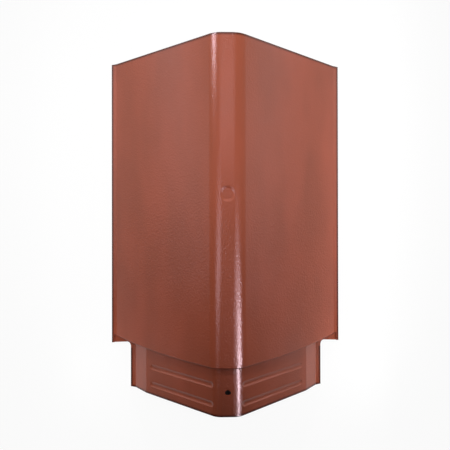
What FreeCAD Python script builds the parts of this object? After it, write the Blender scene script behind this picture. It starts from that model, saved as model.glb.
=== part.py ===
import FreeCAD, Part
import math
import os

# Moulded ridge cap for a pitched roof, one thin-walled V with a rounded crown.
# X runs across the ridge, Y along it and Z up. The two side lips lie on z = 0.
# The open back end is at +Y. The narrow spigot, which the next cap laps, is at -Y.
# Sizes are in millimetres and angles in degrees.

# Cap body
cover_length = 333.0
overall_width = 274.0
leg_angle = 40.0
wall = 2.5
crown_flat_width = 11.0
crown_radius = 20.0

# Lips along both sides, which flare out flatter than the legs
lip_width = 6.5
lip_angle = 27.0
lip_bend_radius = 3.0
lip_edge_radius = 1.8
lip_land = 1.5

# Nose, the front edge of the cap, straight over the ridge and swept back at its sides
nose_straight_width = 90.0
nose_sweep_radius = 410.0
nose_edge_radius = 1.0

# Rounding of the sheet's top edge at the back end and at the spigot's end
end_edge_radius = 0.9

# Spigot, set in from the cap by a wall and the clearance of the lap
spigot_length = 49.0
lap_clearance = 0.8
band_width = 15.0
band_angle = 50.0
band_bend_radius = 4.0
spigot_lip_width = 6.4

# Notch beside the spigot. Its edge runs back a little from the cap's side, then rounds into the spigot's.
notch_depth = 24.6
notch_sweep = 3.8
notch_radius = 4.0
rim_width = 3.5

# Grooves pressed across each leg of the spigot
groove_count = 2
groove_width = 6.0
groove_depth = 0.7
first_groove_from_nose = 17.8
groove_pitch = 19.2
groove_start_from_ridge = 14.5
groove_end_from_ridge = 85.5

# Nail hole in the spigot's crown and the round mark that the mould's gate leaves
nail_hole_diameter = 5.8
nail_hole_from_nose = 24.7
gate_mark_diameter = 16.0
gate_mark_floor_diameter = 10.7
gate_mark_depth = 0.6
gate_mark_from_back = 159.9

# How far a cutting solid runs past what it cuts
past = 5.0

overall_length = cover_length + spigot_length
half_width = overall_width / 2
spigot_half = half_width - notch_depth
back_y = overall_length / 2
nose_y = back_y - cover_length
end_y = -overall_length / 2


def slope(angle):
    return math.tan(math.radians(angle))


def rise(width, angle):
    return width * slope(angle)


def crossing(first, second):
    """The point where two lines meet, each given by two (x, z) points."""
    (ax, az), (bx, bz) = first
    (cx, cz), (dx, dz) = second
    ux, uz = bx - ax, bz - az
    vx, vz = dx - cx, dz - cz
    along = ((cx - ax) * vz - (cz - az) * vx) / (ux * vz - uz * vx)
    return (ax + along * ux, az + along * uz)


def inset(chain, distance):
    """The chain of (x, z) corners moved inwards, below the line from left to right."""
    lines = []
    for (ax, az), (bx, bz) in zip(chain, chain[1:]):
        length = math.hypot(bx - ax, bz - az)
        shift_x = distance * (bz - az) / length
        shift_z = -distance * (bx - ax) / length
        lines.append(((ax + shift_x, az + shift_z), (bx + shift_x, bz + shift_z)))
    corners = [crossing(a, b) for a, b in zip(lines, lines[1:])]
    return [lines[0][0]] + corners + [lines[-1][1]]


def height_at(line, x):
    return crossing(line, ((x, 0.0), (x, 1.0)))[1]


def reach_at(line, z):
    return crossing(line, ((0.0, z), (1.0, z)))[0]


def both_sides(right_half):
    """A chain from left to right, from its right half given from the outside in."""
    return [(-x, z) for x, z in right_half] + right_half[::-1]


def rounded_face(points, radii, place):
    """A face with straight sides and rounded corners; place turns a pair into a vector."""
    edges = []
    count = len(points)
    starts = []
    ends = []
    for i, point in enumerate(points):
        corner = place(*point)
        before = place(*points[i - 1]) - corner
        after = place(*points[(i + 1) % count]) - corner
        before.normalize()
        after.normalize()
        radius = radii[i]
        if radius > 0:
            half_opening = before.getAngle(after) / 2
            tangent = radius / math.tan(half_opening)
            middle = before + after
            middle.normalize()
            arc_start = corner + before * tangent
            arc_end = corner + after * tangent
            arc_middle = corner + middle * (radius / math.sin(half_opening) - radius)
            edges.append(Part.Arc(arc_start, arc_middle, arc_end).toShape())
        else:
            arc_start = corner
            arc_end = corner
        starts.append(arc_start)
        ends.append(arc_end)
    for i in range(count):
        edges.append(Part.makeLine(ends[i], starts[(i + 1) % count]))
    return Part.Face(Part.Wire(Part.__sortEdges__(edges)))


def section_prism(points, radii, y_low, y_high):
    """A cross-section of (x, z) points carried along the ridge."""
    face = rounded_face(points, radii, lambda x, z: FreeCAD.Vector(x, y_low, z))
    return face.extrude(FreeCAD.Vector(0, y_high - y_low, 0))


def mirrored(shape):
    return shape.mirror(FreeCAD.Vector(0, 0, 0), FreeCAD.Vector(1, 0, 0))


# Heights of the cap's section, worked up from the lip's edge
cap_lip_edge_height = wall / math.cos(math.radians(lip_angle)) - rise(lip_land, lip_angle)
lip_root = half_width - lip_width
lip_root_height = cap_lip_edge_height + rise(lip_width, lip_angle)
crown_corner = crown_flat_width / 2 + crown_radius * slope(leg_angle / 2)
crown_height = lip_root_height + rise(lip_root - crown_corner, leg_angle)
top_margin = crown_height + past

cap_chain = both_sides([
    (half_width, cap_lip_edge_height),
    (lip_root, lip_root_height),
    (crown_corner, crown_height),
])
cap_inner_chain = inset(cap_chain, wall)

# The spigot's legs lie under the cap's by its wall and the lap's clearance
lap_step = wall + lap_clearance
lap_chain = inset(cap_chain, lap_step)
lap_leg = (lap_chain[3], lap_chain[4])
band_root = spigot_half - spigot_lip_width - band_width
band_root_height = height_at(lap_leg, band_root)
spigot_lip_root = spigot_half - spigot_lip_width
spigot_lip_root_height = band_root_height - rise(band_width, band_angle)
spigot_lip_edge_height = spigot_lip_root_height - rise(spigot_lip_width, lip_angle)
spigot_floor = spigot_lip_edge_height - cap_lip_edge_height
spigot_chain = both_sides([
    (spigot_half, spigot_lip_edge_height),
    (spigot_lip_root, spigot_lip_root_height),
    (band_root, band_root_height),
    lap_chain[3],
])
spigot_inner_chain = inset(spigot_chain, wall)
spigot_crown_height = crown_height - lap_step
spigot_crown_radius = crown_radius - lap_step


def nose_line(x):
    """How far forward the nose reaches at x: straight over the ridge, then an arc."""
    run = max(abs(x) - nose_straight_width / 2, 0.0)
    return nose_y + nose_sweep_radius - math.sqrt(nose_sweep_radius ** 2 - run ** 2)


def back_line(x):
    return back_y


def spigot_line(x):
    return end_y


def nose_plan(y_shift):
    """The cap's plan behind its nose, with the nose's line moved back by y_shift."""
    straight = nose_straight_width / 2
    side = half_width + past
    halfway = (straight + side) / 2

    def on_nose(x):
        return FreeCAD.Vector(x, nose_line(x) + y_shift, -past)

    far_right = FreeCAD.Vector(side, back_y + past, -past)
    far_left = FreeCAD.Vector(-side, back_y + past, -past)
    edges = [
        Part.makeLine(on_nose(-straight), on_nose(straight)),
        Part.Arc(on_nose(straight), on_nose(halfway), on_nose(side)).toShape(),
        Part.makeLine(on_nose(side), far_right),
        Part.makeLine(far_right, far_left),
        Part.makeLine(far_left, on_nose(-side)),
        Part.Arc(on_nose(-side), on_nose(-halfway), on_nose(-straight)).toShape(),
    ]
    face = Part.Face(Part.Wire(edges))
    return face.extrude(FreeCAD.Vector(0, 0, top_margin + past))


def softened(body, line, floor, radius):
    """Rounds the top edge of an end whose plan follows line, from one side of it to the other."""
    picked = []
    for edge in body.Edges:
        first, last = edge.ParameterRange
        spots = [edge.valueAt(first + (last - first) * share) for share in (0, 0.5, 1)]
        in_plan = all(abs(spot.y - line(spot.x)) < 0.001 for spot in spots)
        upright = abs(spots[2].x - spots[0].x) < 0.001
        on_floor = all(spot.z < floor + 0.001 for spot in spots)
        if in_plan and not upright and not on_floor:
            picked.append(edge)
    return body.makeFillet(radius, picked)


def outer_form(chain, bend_radii, floor, y_low, y_high, lip_radius):
    """A form that is solid from its outer surface down to its floor."""
    side_radii = [lip_radius] + bend_radii
    points = [(chain[0][0], floor)] + chain + [(chain[-1][0], floor)]
    radii = [0] + side_radii + side_radii[::-1] + [0]
    return section_prism(points, radii, y_low, y_high)


def cap_solid():
    """The cap's outer form, down to the floor, from the nose to the back end."""
    bends = [lip_bend_radius, crown_radius]
    body = outer_form(cap_chain, bends, 0.0, nose_y - past, back_y, 0).common(nose_plan(0.0))
    body = softened(body, nose_line, 0.0, nose_edge_radius)
    body = softened(body, back_line, 0.0, end_edge_radius)
    return body.common(outer_form(cap_chain, bends, 0.0, nose_y - past, back_y, lip_edge_radius))


def cap_hollow():
    """What is open under the cap, up to the wall behind the nose."""
    lip_line = (cap_inner_chain[-2], cap_inner_chain[-1])
    low = reach_at(lip_line, -past)
    points = [(-low, -past)] + cap_inner_chain[1:-1] + [(low, -past)]
    radii = [0, lip_bend_radius + wall, crown_radius - wall, crown_radius - wall, lip_bend_radius + wall, 0]
    return section_prism(points, radii, nose_y - past, back_y + past).common(nose_plan(wall))


def spigot_solid():
    """The spigot's outer form, from its end to inside the wall behind the nose."""
    bends = [lip_bend_radius, band_bend_radius, spigot_crown_radius]
    inside = nose_line(half_width) + wall
    body = outer_form(spigot_chain, bends, spigot_floor, end_y, inside, 0)
    body = softened(body, spigot_line, spigot_floor, end_edge_radius)
    return body.common(outer_form(spigot_chain, bends, spigot_floor, end_y, inside, lip_edge_radius))


def groove_tools(radius):
    """Round-ended bars along the grooves of both legs, on one axis for the groove and its rib."""
    groove_radius = (groove_width ** 2 / 4 + groove_depth ** 2) / (2 * groove_depth)
    lift = groove_radius - groove_depth
    angle = math.radians(leg_angle)
    across = FreeCAD.Vector(math.cos(angle), 0, -math.sin(angle))
    outward = FreeCAD.Vector(math.sin(angle), 0, math.cos(angle))
    tools = []
    for i in range(groove_count):
        y = nose_y - first_groove_from_nose - i * groove_pitch
        start = FreeCAD.Vector(groove_start_from_ridge, y, height_at(lap_leg, groove_start_from_ridge))
        end = FreeCAD.Vector(groove_end_from_ridge, y, height_at(lap_leg, groove_end_from_ridge))
        start = start + across * (groove_width / 2) + outward * lift
        end = end - across * (groove_width / 2) + outward * lift
        bar = Part.makeCylinder(radius(groove_radius), (end - start).Length, start, across)
        bar = bar.fuse([Part.makeSphere(radius(groove_radius), start), Part.makeSphere(radius(groove_radius), end)])
        tools += [bar, mirrored(bar)]
    return tools


def spigot_hollow():
    """What is open under the spigot, less the ribs that back its grooves."""
    land = spigot_half - lip_land
    points = [
        (-spigot_half, -past),
        (-spigot_half, spigot_floor),
        (-land, spigot_floor),
    ] + spigot_inner_chain[1:-1] + [
        (land, spigot_floor),
        (spigot_half, spigot_floor),
        (spigot_half, -past),
    ]
    side_radii = [lip_bend_radius + wall, band_bend_radius - wall, spigot_crown_radius - wall]
    radii = [0, 0, 0] + side_radii + side_radii[::-1] + [0, 0, 0]
    hollow = section_prism(points, radii, end_y - past, back_y + past)
    return hollow.cut(groove_tools(lambda groove_radius: groove_radius + wall))


def corner_solid():
    """The cap's lower front corner: the spigot's lip, carried out under the nose to the cap's rim."""
    inner_x = spigot_half - wall
    rim_root = half_width - rim_width
    spigot_lip = (spigot_chain[-2], spigot_chain[-1])
    cap_lip = (cap_chain[-2], cap_chain[-1])
    section = [
        (inner_x, 0.0),
        (inner_x, height_at(spigot_lip, inner_x)),
        (rim_root, height_at(spigot_lip, rim_root)),
        (rim_root, height_at(cap_lip, rim_root)),
        (half_width, cap_lip_edge_height),
        (half_width, 0.0),
    ]
    behind = nose_line(half_width) + wall
    block = section_prism(section, [0, 0, 0, 0, lip_edge_radius, 0], nose_y - past, behind)
    notch_root = nose_y + notch_sweep
    half_opening = math.pi / 4 + math.atan(notch_sweep / notch_depth) / 2
    fillet_foot = notch_root - notch_radius / math.tan(half_opening)
    plan = [
        (inner_x, fillet_foot),
        (spigot_half, fillet_foot),
        (spigot_half, notch_root),
        (half_width, nose_y),
        (half_width, behind),
        (inner_x, behind),
    ]
    face = rounded_face(plan, [0, 0, notch_radius, 0, 0, 0], lambda x, y: FreeCAD.Vector(x, y, 0))
    return block.common(face.extrude(FreeCAD.Vector(0, 0, top_margin)))


def corner_hollow():
    """What is open under the front corner, a wall below the spigot's lip carried outwards."""
    under_lip = (spigot_inner_chain[-2], spigot_inner_chain[-1])
    points = [
        (spigot_half, height_at(under_lip, spigot_half)),
        (reach_at(under_lip, -past), -past),
        (spigot_half - wall / 2, -past),
        (spigot_half - wall / 2, spigot_floor),
        (spigot_half, spigot_floor),
    ]
    return section_prism(points, [0] * len(points), nose_y - past, back_y + past)


def nail_hole():
    centre = FreeCAD.Vector(0, nose_y - nail_hole_from_nose, spigot_crown_height - wall - past)
    return Part.makeCylinder(nail_hole_diameter / 2, wall + 2 * past, centre)


def gate_mark():
    """A shallow round dish in the crown, flat at its bottom, with a sloping side."""
    floor = FreeCAD.Vector(0, back_y - gate_mark_from_back, crown_height - gate_mark_depth)
    side_slope = (gate_mark_diameter - gate_mark_floor_diameter) / 2 / gate_mark_depth
    above = gate_mark_depth / 2
    top_radius = gate_mark_diameter / 2 + above * side_slope
    return Part.makeCone(gate_mark_floor_diameter / 2, top_radius, gate_mark_depth + above, floor)


def ridge_cap():
    body = cap_solid().fuse([spigot_solid(), corner_solid(), mirrored(corner_solid())])
    body = body.cut([cap_hollow(), spigot_hollow(), corner_hollow(), mirrored(corner_hollow())])
    body = body.cut(groove_tools(lambda groove_radius: groove_radius))
    body = body.cut([nail_hole(), gate_mark()])
    return body.removeSplitter()


os.makedirs("parts", exist_ok=True)
cap = ridge_cap()
print("solids", len(cap.Solids), "valid", cap.isValid(), "volume cm3", round(cap.Volume / 1000, 1))
print("box", cap.BoundBox)
cap.Solids[0].exportStep("parts/ridge_cap.step")
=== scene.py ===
import math
import bmesh
import bpy
from mathutils import Matrix, Vector


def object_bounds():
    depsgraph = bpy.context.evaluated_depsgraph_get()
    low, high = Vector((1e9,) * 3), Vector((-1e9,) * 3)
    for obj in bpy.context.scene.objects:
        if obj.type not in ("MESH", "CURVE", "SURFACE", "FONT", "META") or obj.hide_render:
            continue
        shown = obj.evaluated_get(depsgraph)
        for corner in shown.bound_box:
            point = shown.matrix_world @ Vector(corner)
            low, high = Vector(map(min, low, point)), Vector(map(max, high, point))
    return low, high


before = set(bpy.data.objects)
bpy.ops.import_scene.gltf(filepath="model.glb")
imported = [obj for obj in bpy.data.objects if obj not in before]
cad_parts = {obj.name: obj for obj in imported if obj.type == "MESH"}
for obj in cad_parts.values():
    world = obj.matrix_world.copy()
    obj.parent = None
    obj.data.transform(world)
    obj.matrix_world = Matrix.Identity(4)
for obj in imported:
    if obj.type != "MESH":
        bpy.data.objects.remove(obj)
cad_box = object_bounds()

bl_info = {
    "name": "Roof ridge cap",
    "version": (1, 0, 0),
    "blender": (4, 5, 0),
    "location": "View3D > Sidebar > Ridge Cap",
    "description": "Finishes a moulded roof ridge cap and sets the studio that it is shown in",
    "category": "Object",
}

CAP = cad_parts["ridge_cap"]

# Half of the cap's width and half of its length, in metres
SIDE, END = cad_box[1][:2]

# Where the spigot starts, and how far its sides stand back from the cap's, in metres
NOSE = -0.1455
NOTCH = 0.0246


def linear(hex_colour):
    """An sRGB hex colour as the linear red, green, blue and alpha that a shader takes."""
    parts = [int(hex_colour[i:i + 2], 16) / 255 for i in (1, 3, 5)]
    return [c / 12.92 if c <= 0.04045 else ((c + 0.055) / 1.055) ** 2.4 for c in parts] + [1.0]


def add_node(tree, kind, settings=None, inputs=None):
    """Adds one shader node; inputs holds plain values, or the sockets that feed them."""
    node = tree.nodes.new(kind)
    for name, value in (settings or {}).items():
        setattr(node, name, value)
    for name, value in (inputs or {}).items():
        if isinstance(value, bpy.types.NodeSocket):
            tree.links.new(value, node.inputs[name])
        else:
            node.inputs[name].default_value = value
    return node


class RidgeCapFinish(bpy.types.PropertyGroup):
    """The plastic's colours, its gloss, its fine surface and the shade painted along the wall's rim."""
    red: bpy.props.FloatVectorProperty(
        name="Plastic", description="Colour of the moulded plastic",
        default=linear("#914530"), size=4, subtype="COLOR")
    brown: bpy.props.FloatVectorProperty(
        name="Darker plastic", description="Colour of the plastic's darker clouds",
        default=linear("#85402C"), size=4, subtype="COLOR")
    cloud: bpy.props.FloatProperty(
        name="Clouds", description="Width of the darker clouds", default=0.055, unit="LENGTH")
    cloud_stretch: bpy.props.FloatProperty(
        name="Cloud stretch", description="How many times longer than wide the clouds are", default=2.5)
    roughness: bpy.props.FloatProperty(
        name="Roughness", description="Spread of the surface's reflections",
        default=0.2, min=0.0, max=1.0, subtype="FACTOR")
    gloss: bpy.props.FloatVectorProperty(
        name="Gloss", description="Tint of the surface's reflections",
        default=linear("#FFE4E4"), size=4, subtype="COLOR")
    ior: bpy.props.FloatProperty(
        name="Index of refraction", description="How strongly the plastic bends light", default=1.49)
    peel: bpy.props.FloatProperty(
        name="Orange peel", description="Width of the surface's fine bumps", default=0.002, unit="LENGTH")
    peel_height: bpy.props.FloatProperty(
        name="Peel height", description="Height of the fine bumps", default=0.0003, unit="LENGTH")
    peel_share: bpy.props.FloatProperty(
        name="Peel share", description="How much of the fine bumps the gloss shows",
        default=0.8, min=0.0, max=1.0, subtype="FACTOR")
    # Width and colour of the thin line of painted shade along the wall's rim
    rim: bpy.props.FloatProperty(
        name="Rim", description="Width of the darker line along the wall's edge",
        default=0.0034, unit="LENGTH")
    painted_rim_shade: bpy.props.FloatVectorProperty(
        name="Rim colour", description="Colour of the line along the wall's edge",
        default=linear("#48190F"), size=4, subtype="COLOR")


class RidgeCapStudio(bpy.types.PropertyGroup):
    """The camera, the floor and the world."""
    camera_place: bpy.props.FloatVectorProperty(
        name="Camera", description="Where the camera stands",
        default=(-0.00956, 0.00798, 0.55488), unit="LENGTH")
    camera_aim: bpy.props.FloatVectorProperty(
        name="Aim", description="The point that the camera looks at",
        default=(0.00843, 0.01014, 0.0), unit="LENGTH")
    camera_roll: bpy.props.FloatProperty(
        name="Roll", description="Turn of the camera about its line of sight",
        default=math.radians(-0.107), unit="ROTATION")
    lens: bpy.props.FloatProperty(
        name="Lens", description="Focal length in millimetres", default=36.57, unit="CAMERA")
    shift: bpy.props.FloatVectorProperty(
        name="Shift", description="Shift of the picture, in widths of it",
        default=(-0.0173, -0.0219), size=2)
    room: bpy.props.FloatProperty(
        name="Room", description="Brightness all round, in reflections", default=0.075)
    back_wall: bpy.props.FloatProperty(
        name="Back wall", description="Brightness added towards the back end, in reflections", default=0.9)
    wall_colour: bpy.props.FloatVectorProperty(
        name="Wall colour", description="Colour of the room, in reflections",
        default=linear("#FFF3DC"), size=4, subtype="COLOR")
    floor_white: bpy.props.FloatVectorProperty(
        name="Floor colour", description="Colour of the floor's paint",
        default=linear("#F0F0F0"), size=4, subtype="COLOR")
    floor_glow: bpy.props.FloatProperty(
        name="Floor glow", description="How much of the floor's white is its own glow",
        default=0.94, min=0.0, max=1.0, subtype="FACTOR")
    floor_mirrored: bpy.props.FloatProperty(
        name="Floor in gloss", description="Brightness of the floor's glow, in reflections", default=0.8)
    floor_reach: bpy.props.FloatProperty(
        name="Floor reach", description="How far the floor goes out from the middle",
        default=4.0, unit="LENGTH")


# The share of the painted rim shade's width, at the edge itself, that has its full dark colour
PAINTED_SHADE_CORE = 0.4

# The levels of the noise between which the plastic turns from red to its darker clouds
CLOUD_LEVELS = (0.35, 0.65)


def places_on_object(tree):
    """Four sockets: a point's place, its y, and how far from the middle it lies in x and in y."""
    place = add_node(tree, "ShaderNodeTexCoord")
    split = add_node(tree, "ShaderNodeSeparateXYZ", None, {"Vector": place.outputs["Object"]})
    across = add_node(tree, "ShaderNodeMath", {"operation": "ABSOLUTE"}, {0: split.outputs["X"]})
    along = add_node(tree, "ShaderNodeMath", {"operation": "ABSOLUTE"}, {0: split.outputs["Y"]})
    return place.outputs["Object"], split.outputs["Y"], across.outputs["Value"], along.outputs["Value"]


def painted_shade_on_rim(tree, y, across, along, width):
    """A socket that is 1 where shade is painted on the wall's rim: at the cap's sides, its two ends and
    the spigot's sides.
    """
    limits = {"side": (across, SIDE), "end": (along, END), "spigot": (across, SIDE - NOTCH)}
    near = {}
    for name, (distance, limit) in limits.items():
        closeness = add_node(tree, "ShaderNodeMapRange", None, {
            "Value": distance, "From Min": limit - width, "From Max": limit - PAINTED_SHADE_CORE * width})
        near[name] = closeness.outputs["Result"]
    before_nose = add_node(tree, "ShaderNodeMath", {"operation": "LESS_THAN"}, {0: y, 1: NOSE})
    at_spigot = add_node(tree, "ShaderNodeMath", {"operation": "MULTIPLY"}, {
        0: near["spigot"], 1: before_nose.outputs["Value"]})
    at_end_or_spigot = add_node(tree, "ShaderNodeMath", {"operation": "MAXIMUM"}, {
        0: near["end"], 1: at_spigot.outputs["Value"]})
    rim = add_node(tree, "ShaderNodeMath", {"operation": "MAXIMUM"}, {
        0: near["side"], 1: at_end_or_spigot.outputs["Value"]})
    return rim.outputs["Value"]


def moulded_polypropylene(finish):
    """Polypropylene, injection moulded and coloured brick red right through.

    To the eye that is one even red with a clear gloss. A fine orange peel from the mould breaks up
    the streaks of light, and faint darker clouds lie along the ridge, the way that the melt ran. A thin
    line of painted shade darkens the wall's rim.
    """
    material = bpy.data.materials.new("moulded_polypropylene")
    material.use_nodes = True
    tree = material.node_tree
    tree.nodes.clear()
    place, y, across, along = places_on_object(tree)
    # Real peel is too fine to show at the photograph's scale, so it is drawn as coarse as it needs
    peel = add_node(tree, "ShaderNodeTexNoise", None, {
        "Vector": place, "Scale": 1 / finish.peel, "Detail": 3.0})
    bump = add_node(tree, "ShaderNodeBump", None, {
        "Strength": finish.peel_share, "Distance": finish.peel_height, "Height": peel.outputs["Fac"]})
    drawn_out = add_node(tree, "ShaderNodeMapping", None, {
        "Vector": place, "Scale": (1.0, 1 / finish.cloud_stretch, 1.0)})
    cloud = add_node(tree, "ShaderNodeTexNoise", None, {
        "Vector": drawn_out.outputs["Vector"], "Scale": 1 / finish.cloud, "Detail": 2.0})
    share = add_node(tree, "ShaderNodeMapRange", None, {
        "Value": cloud.outputs["Fac"], "From Min": CLOUD_LEVELS[0], "From Max": CLOUD_LEVELS[1]})
    clouded = add_node(tree, "ShaderNodeMix", {"data_type": "RGBA"}, {
        "Factor": share.outputs["Result"], "A": finish.red, "B": finish.brown})
    # Painted shade: a thin dark line along the wall's rim, where its rounded edge turns away from the
    # lamps
    rim = painted_shade_on_rim(tree, y, across, along, finish.rim)
    colour = add_node(tree, "ShaderNodeMix", {"data_type": "RGBA"}, {
        "Factor": rim, "A": clouded.outputs["Result"], "B": finish.painted_rim_shade})
    shader = add_node(tree, "ShaderNodeBsdfPrincipled", None, {
        "Base Color": colour.outputs["Result"],
        "Roughness": finish.roughness,
        "IOR": finish.ior,
        "Specular Tint": finish.gloss,
        "Normal": bump.outputs["Normal"],
    })
    add_node(tree, "ShaderNodeOutputMaterial", None, {"Surface": shader.outputs["BSDF"]})
    return material


class RIDGECAP_OT_finish_cap(bpy.types.Operator):
    """Gives the moulded cap its plastic"""
    bl_idname = "ridgecap.finish_cap"
    bl_label = "Finish the cap"

    def execute(self, context):
        material = moulded_polypropylene(context.scene.ridge_cap_finish)
        CAP.data.materials.clear()
        CAP.data.materials.append(material)
        return {"FINISHED"}


# Points on the cap that the lamps face, in metres
MIDDLE = (0.0, 0.0, 0.05)
BACK_OF_CROWN = (0.0, 0.12, 0.1)
LEFT_LIP = (-SIDE, 0.0, 0.01)
RIGHT_LIP = (SIDE, 0.06, 0.01)
FRONT_OF_RIGHT_LIP = (SIDE, -0.1, 0.01)
LEFT_BAND = (-0.11, -0.175, 0.02)
RIGHT_BAND = (0.11, -0.175, 0.02)

# The ways that a lamp's first side runs
RIDGE = (0.0, 1.0, 0.0)
UPRIGHT = (0.0, 0.0, 1.0)
TO_RIGHT_FRONT = (0.76, -0.65, 0.0)
TO_LEFT_FRONT = (-0.76, -0.65, 0.0)

# Each softbox: its place, the point that it faces, the way its first side runs, its two sides
# in metres and its power in watts. Softboxes light the cap, and its gloss doesn't show them.
SOFTBOXES = {
    "key_back_left": ((-0.5, 0.55, 0.55), MIDDLE, RIDGE, (0.3, 0.3), 1.0),
    "wide_back": ((0.0, 1.6, 0.38), MIDDLE, UPRIGHT, (0.5, 1.4), 10.5),
    "side_left": ((-0.8, 0.0, 0.12), MIDDLE, RIDGE, (0.9, 0.15), 1.05),
    "side_right": ((0.8, 0.0, 0.12), MIDDLE, RIDGE, (0.9, 0.15), 1.2),
    "low_front": ((0.0, -0.9, 0.25), MIDDLE, UPRIGHT, (0.2, 0.6), 0.15),
    "spigot_left": ((-0.18, -0.175, 0.06), LEFT_BAND, RIDGE, (0.05, 0.03), 0.021),
    "spigot_right": ((0.18, -0.175, 0.06), RIGHT_BAND, RIDGE, (0.05, 0.03), 0.033),
    "strip_left": ((-0.21, 0.0, 0.07), LEFT_LIP, RIDGE, (0.5, 0.03), 0.055),
    "strip_right": ((0.21, 0.06, 0.07), RIGHT_LIP, RIDGE, (0.5, 0.03), 0.15),
    "strip_right_front": ((0.19, -0.1, 0.04), FRONT_OF_RIGHT_LIP, RIDGE, (0.3, 0.03), 0.012),
}

# Glossy panels, set down in the same way. The cap's gloss shows them as its streaks and sheen,
# and they don't light it.
GLOSS_PANELS = {
    "window_back_left": ((-0.45, 0.54, 0.5), MIDDLE, RIDGE, (0.3, 0.2), 6.0),
    "window_over_back": ((0.0, 0.37, 0.95), BACK_OF_CROWN, RIDGE, (0.4, 0.4), 0.75),
    "window_right": ((0.66, -0.47, 0.9), (0.05, -0.15, 0.1), TO_RIGHT_FRONT, (0.35, 0.28), 6.6),
    "window_right_front": ((0.7, -0.6, 0.9), (0.05, -0.17, 0.1), TO_RIGHT_FRONT, (0.25, 0.1), 3.2),
    "window_middle": ((0.4, -0.27, 0.9), (0.0, -0.1, 0.1), TO_RIGHT_FRONT, (0.42, 0.42), 2.9),
    "window_left": ((-0.31, -0.1, 0.9), (0.0, -0.05, 0.1), TO_LEFT_FRONT, (0.48, 0.24), 1.75),
    "strip_of_left_lip": ((-0.4, 0.15, 0.115), LEFT_LIP, RIDGE, (0.7, 0.06), 0.18),
    "strip_of_right_lip": ((0.4, 0.15, 0.115), RIGHT_LIP, RIDGE, (0.7, 0.06), 0.16),
}

# Linear red, green and blue of the glossy panels' light
COOL_DAYLIGHT = (0.88, 0.88, 1.0)

# Each spot: its place, the point that it lights, its power in watts, the width of its cone in
# radians and the size of its bulb in metres. Spots make the back of the crown the palest part.
SPOTS = {
    "spot_back": ((0.0, 0.3, 1.0), BACK_OF_CROWN, 20.0, 0.75, 0.06),
    "spot_back_high": ((0.0, 0.5, 0.8), (0.0, 0.13, 0.1), 4.7, 0.85, 0.06),
    "spot_back_low": ((0.0, 0.8, 0.5), (0.0, 0.15, 0.1), 14.0, 0.9, 0.06),
}


def put_lamp(name, data, place, turn, lights, in_gloss):
    """Puts a lamp in the studio, unseen by the camera. It lights surfaces or shows in gloss, as told."""
    lamp = bpy.data.objects.new(name, data)
    bpy.context.scene.collection.objects.link(lamp)
    lamp.visible_camera = False
    lamp.visible_diffuse = lights
    lamp.visible_glossy = in_gloss
    lamp.location = place
    lamp.rotation_euler = turn


def oblong_lamp(name, place, facing, along, size, power, in_gloss):
    """An oblong lamp, with its first side lying as near to the given way as it can."""
    data = bpy.data.lights.new(name, "AREA")
    data.shape = "RECTANGLE"
    data.size, data.size_y = size
    data.energy = power
    if in_gloss:
        data.color = COOL_DAYLIGHT
    behind = (Vector(place) - Vector(facing)).normalized()
    first = (Vector(along) - behind * behind.dot(Vector(along))).normalized()
    turn = Matrix((first, behind.cross(first), behind)).transposed()
    put_lamp(name, data, place, turn.to_euler(), not in_gloss, in_gloss)


def spot(name, place, facing, power, cone, bulb):
    """A spot whose light fades all the way to the rim of its cone."""
    data = bpy.data.lights.new(name, "SPOT")
    data.energy = power
    data.spot_size = cone
    data.spot_blend = 1.0
    data.shadow_soft_size = bulb
    beam = Vector(facing) - Vector(place)
    put_lamp(name, data, place, beam.to_track_quat("-Z", "Y").to_euler(), True, False)


# How far a reflection leans towards the back end where it starts to see the bright wall, and
# where it sees all of it, as the y of its direction
BACK_WALL_SEEN = (-0.15, 0.12)

# The floor glows outside the cap, and under it the glow is taken away, which paints the cap's shadow.
# These are shares of the cap's half width, for its sides, and of its half length, for its ends,
# between which the glow sets in.
GLOW_PAST_SIDE = (0.7, 0.85)
GLOW_PAST_END = (0.98, 1.06)

# How many metres shorter the painted shadow under the cap gets for each metre off the ridge's line
PAINTED_SHADOW_SLANT = 0.35

# The oval of painted shadow round the spigot, which keeps the nail hole dark: its middle and the rim
# over which it fades, as shares of the cap's half length, and its length for each metre of width
OVAL_MIDDLE = 0.85
OVAL_RIM = (0.25, 0.34)
OVAL_FLATNESS = 0.65


def kinds_of_ray(tree):
    """Two sockets: whether the camera looks at a point, and whether gloss or glass does."""
    rays = add_node(tree, "ShaderNodeLightPath")
    mirrored = add_node(tree, "ShaderNodeMath", {"operation": "MAXIMUM"}, {
        0: rays.outputs["Is Glossy Ray"], 1: rays.outputs["Is Transmission Ray"]})
    return rays.outputs["Is Camera Ray"], mirrored.outputs["Value"]


def studio_world(studio):
    """White to the camera. Gloss shows a dim warm room with a bright wall towards the back end."""
    world = bpy.data.worlds.new("studio")
    world.use_nodes = True
    tree = world.node_tree
    tree.nodes.clear()
    direction = add_node(tree, "ShaderNodeTexCoord")
    split = add_node(tree, "ShaderNodeSeparateXYZ", None, {"Vector": direction.outputs["Generated"]})
    walls = add_node(tree, "ShaderNodeMapRange", {"interpolation_type": "SMOOTHSTEP"}, {
        "Value": split.outputs["Y"], "From Min": BACK_WALL_SEEN[0], "From Max": BACK_WALL_SEEN[1],
        "To Min": studio.room, "To Max": studio.room + studio.back_wall})
    to_camera, mirrored = kinds_of_ray(tree)
    in_gloss = add_node(tree, "ShaderNodeMath", {"operation": "MULTIPLY"}, {
        0: walls.outputs["Result"], 1: mirrored})
    room = add_node(tree, "ShaderNodeBackground", None, {
        "Color": studio.wall_colour, "Strength": in_gloss.outputs["Value"]})
    white = add_node(tree, "ShaderNodeBackground", None, {"Color": linear("#FFFFFF"), "Strength": 1.0})
    seen = add_node(tree, "ShaderNodeMixShader", None, {
        0: to_camera, 1: room.outputs["Background"], 2: white.outputs["Background"]})
    add_node(tree, "ShaderNodeOutputWorld", None, {"Surface": seen.outputs["Shader"]})
    return world


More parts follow.
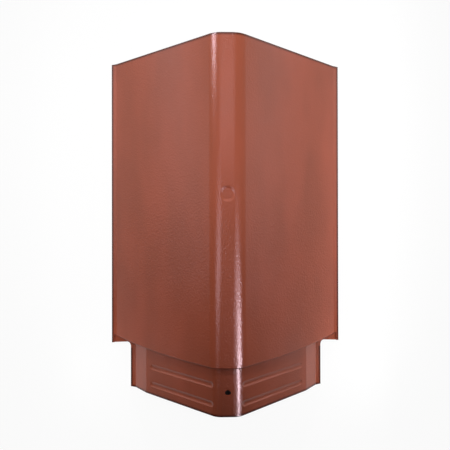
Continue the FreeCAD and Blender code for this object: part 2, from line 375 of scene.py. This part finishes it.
def glow_outside_painted_shadow(tree):
    """A socket that is 1 on the open floor, and 0 where shadow is painted, under the cap and round its
    spigot.
    """
    place, _, across, along = places_on_object(tree)
    past_side = add_node(tree, "ShaderNodeMapRange", {"interpolation_type": "SMOOTHSTEP"}, {
        "Value": across, "From Min": GLOW_PAST_SIDE[0] * SIDE, "From Max": GLOW_PAST_SIDE[1] * SIDE})
    slanted = add_node(tree, "ShaderNodeMath", {"operation": "MULTIPLY_ADD"}, {
        0: across, 1: PAINTED_SHADOW_SLANT, 2: along})
    past_end = add_node(tree, "ShaderNodeMapRange", {"interpolation_type": "SMOOTHSTEP"}, {
        "Value": slanted.outputs["Value"],
        "From Min": GLOW_PAST_END[0] * END, "From Max": GLOW_PAST_END[1] * END})
    flattened = add_node(tree, "ShaderNodeMapping", None, {
        "Vector": place, "Scale": (OVAL_FLATNESS, 1.0, 1.0)})
    from_oval = add_node(tree, "ShaderNodeVectorMath", {"operation": "DISTANCE"}, {
        0: flattened.outputs["Vector"], 1: (0.0, -OVAL_MIDDLE * END, 0.0)})
    past_oval = add_node(tree, "ShaderNodeMapRange", {"interpolation_type": "SMOOTHSTEP"}, {
        "Value": from_oval.outputs["Value"],
        "From Min": OVAL_RIM[0] * END, "From Max": OVAL_RIM[1] * END})
    past_both = add_node(tree, "ShaderNodeMath", {"operation": "MINIMUM"}, {
        0: past_end.outputs["Result"], 1: past_oval.outputs["Result"]})
    outside = add_node(tree, "ShaderNodeMath", {"operation": "MAXIMUM"}, {
        0: past_side.outputs["Result"], 1: past_both.outputs["Value"]})
    return outside.outputs["Value"]


def floor_paint(studio):
    """White matt floor paint, rolled on: even and chalky, with no gloss, so soft shade shows on it.

    Its own glow makes the ground white to the camera and in gloss, and doesn't light the cap. Under the
    cap and in an oval round the spigot the glow is taken away, which paints a dark shadow there.
    """
    paint = bpy.data.materials.new("white_matt_floor_paint_with_painted_shadow")
    paint.use_nodes = True
    tree = paint.node_tree
    tree.nodes.clear()
    # Painted shadow: the glow is taken away under the cap and round the spigot
    outside = glow_outside_painted_shadow(tree)
    to_camera, mirrored = kinds_of_ray(tree)
    level = add_node(tree, "ShaderNodeMath", {"operation": "MULTIPLY_ADD"}, {
        0: mirrored, 1: studio.floor_mirrored, 2: to_camera})
    strength = add_node(tree, "ShaderNodeMath", {"operation": "MULTIPLY"}, {
        0: level.outputs["Value"], 1: outside})
    shown = add_node(tree, "ShaderNodeMath", {"operation": "MAXIMUM"}, {0: mirrored, 1: to_camera})
    share_of_glow = add_node(tree, "ShaderNodeMath", {"operation": "MULTIPLY"}, {
        0: shown.outputs["Value"], 1: studio.floor_glow})
    matt = add_node(tree, "ShaderNodeBsdfDiffuse", None, {"Color": studio.floor_white})
    glow = add_node(tree, "ShaderNodeEmission", None, {"Strength": strength.outputs["Value"]})
    both = add_node(tree, "ShaderNodeMixShader", None, {
        0: share_of_glow.outputs["Value"], 1: matt.outputs["BSDF"], 2: glow.outputs["Emission"]})
    add_node(tree, "ShaderNodeOutputMaterial", None, {"Surface": both.outputs["Shader"]})
    return paint


def studio_floor(studio):
    """A wide white floor, which keeps a little of the cap's real shadow and has a darker shadow painted
    under the cap and round its spigot.
    """
    mesh = bpy.data.meshes.new("studio_floor")
    shape = bmesh.new()
    bmesh.ops.create_grid(shape, x_segments=1, y_segments=1, size=studio.floor_reach)
    shape.to_mesh(mesh)
    shape.free()
    floor = bpy.data.objects.new("studio_floor", mesh)
    bpy.context.scene.collection.objects.link(floor)
    mesh.materials.append(floor_paint(studio))


def studio_camera(studio):
    """The camera at the photograph's place, with the ridge upright in its picture."""
    data = bpy.data.cameras.new("camera")
    data.lens = studio.lens
    data.shift_x, data.shift_y = studio.shift
    camera = bpy.data.objects.new("camera", data)
    bpy.context.scene.collection.objects.link(camera)
    forward = (Vector(studio.camera_aim) - Vector(studio.camera_place)).normalized()
    right = forward.cross(Vector(RIDGE)).normalized()
    up = right.cross(forward)
    level = Matrix((right, up, -forward)).transposed()
    camera.location = studio.camera_place
    camera.rotation_euler = (level @ Matrix.Rotation(studio.camera_roll, 3, "Z")).to_euler()
    bpy.context.scene.camera = camera


class RIDGECAP_OT_set_studio(bpy.types.Operator):
    """Sets the world, the floor, the lamps and the camera"""
    bl_idname = "ridgecap.set_studio"
    bl_label = "Set the studio"

    def execute(self, context):
        scene = context.scene
        studio = scene.ridge_cap_studio
        scene.view_settings.view_transform = "Standard"
        scene.world = studio_world(studio)
        studio_floor(studio)
        for name, settings in SOFTBOXES.items():
            oblong_lamp(name, *settings, in_gloss=False)
        for name, settings in GLOSS_PANELS.items():
            oblong_lamp(name, *settings, in_gloss=True)
        for name, settings in SPOTS.items():
            spot(name, *settings)
        studio_camera(studio)
        return {"FINISHED"}


class RIDGECAP_PT_panel(bpy.types.Panel):
    """Lists the steps that dress the cap"""
    bl_idname = "RIDGECAP_PT_panel"
    bl_label = "Roof ridge cap"
    bl_space_type = "VIEW_3D"
    bl_region_type = "UI"
    bl_category = "Ridge Cap"

    def draw(self, context):
        for operator in OPERATORS:
            self.layout.operator(operator.bl_idname)


GROUPS = (RidgeCapFinish, RidgeCapStudio)
OPERATORS = (RIDGECAP_OT_finish_cap, RIDGECAP_OT_set_studio)


def register():
    for group in GROUPS + OPERATORS + (RIDGECAP_PT_panel,):
        bpy.utils.register_class(group)
    bpy.types.Scene.ridge_cap_finish = bpy.props.PointerProperty(type=RidgeCapFinish)
    bpy.types.Scene.ridge_cap_studio = bpy.props.PointerProperty(type=RidgeCapStudio)


def unregister():
    del bpy.types.Scene.ridge_cap_studio
    del bpy.types.Scene.ridge_cap_finish
    for group in (RIDGECAP_PT_panel,) + OPERATORS[::-1] + GROUPS[::-1]:
        bpy.utils.unregister_class(group)


def main():
    register()
    bpy.ops.ridgecap.finish_cap()
    bpy.ops.ridgecap.set_studio()


if __name__ == "__main__":
    main()
